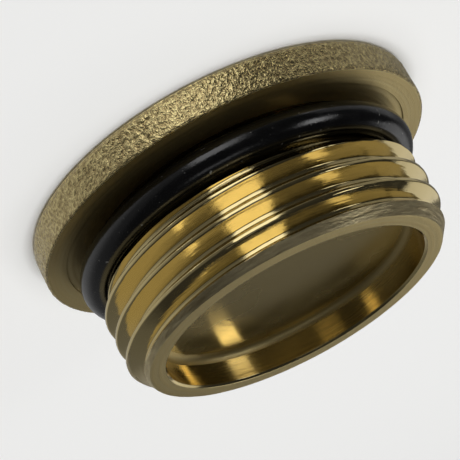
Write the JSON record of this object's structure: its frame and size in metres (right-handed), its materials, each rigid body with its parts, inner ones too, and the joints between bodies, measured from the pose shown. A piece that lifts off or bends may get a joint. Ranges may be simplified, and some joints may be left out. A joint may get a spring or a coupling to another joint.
{
  "type": "manifold blanking plug",
  "caption": "Round brass blanking plug with a flat head, a rubber sealing ring behind it, a short parallel pipe thread, a hexagon key socket and a shallow blind recess in its mouth.",
  "frame": {"origin": "centre of the head's flat outer face, on which the plug stands", "axes": "+Z along the plug's axis, from the outer face of the head to the mouth of the threaded stem"},
  "size_m": [0.04, 0.04, 0.016],
  "materials": {
    "plug_body": "polished on the thread and in the recess, as forged on the rim",
    "o_ring": "smooth, with a dull sheen"
  },
  "bodies": {
    "root": {"plug_body": "plug_body", "o_ring": "o_ring"}
  },
  "joints": []
}
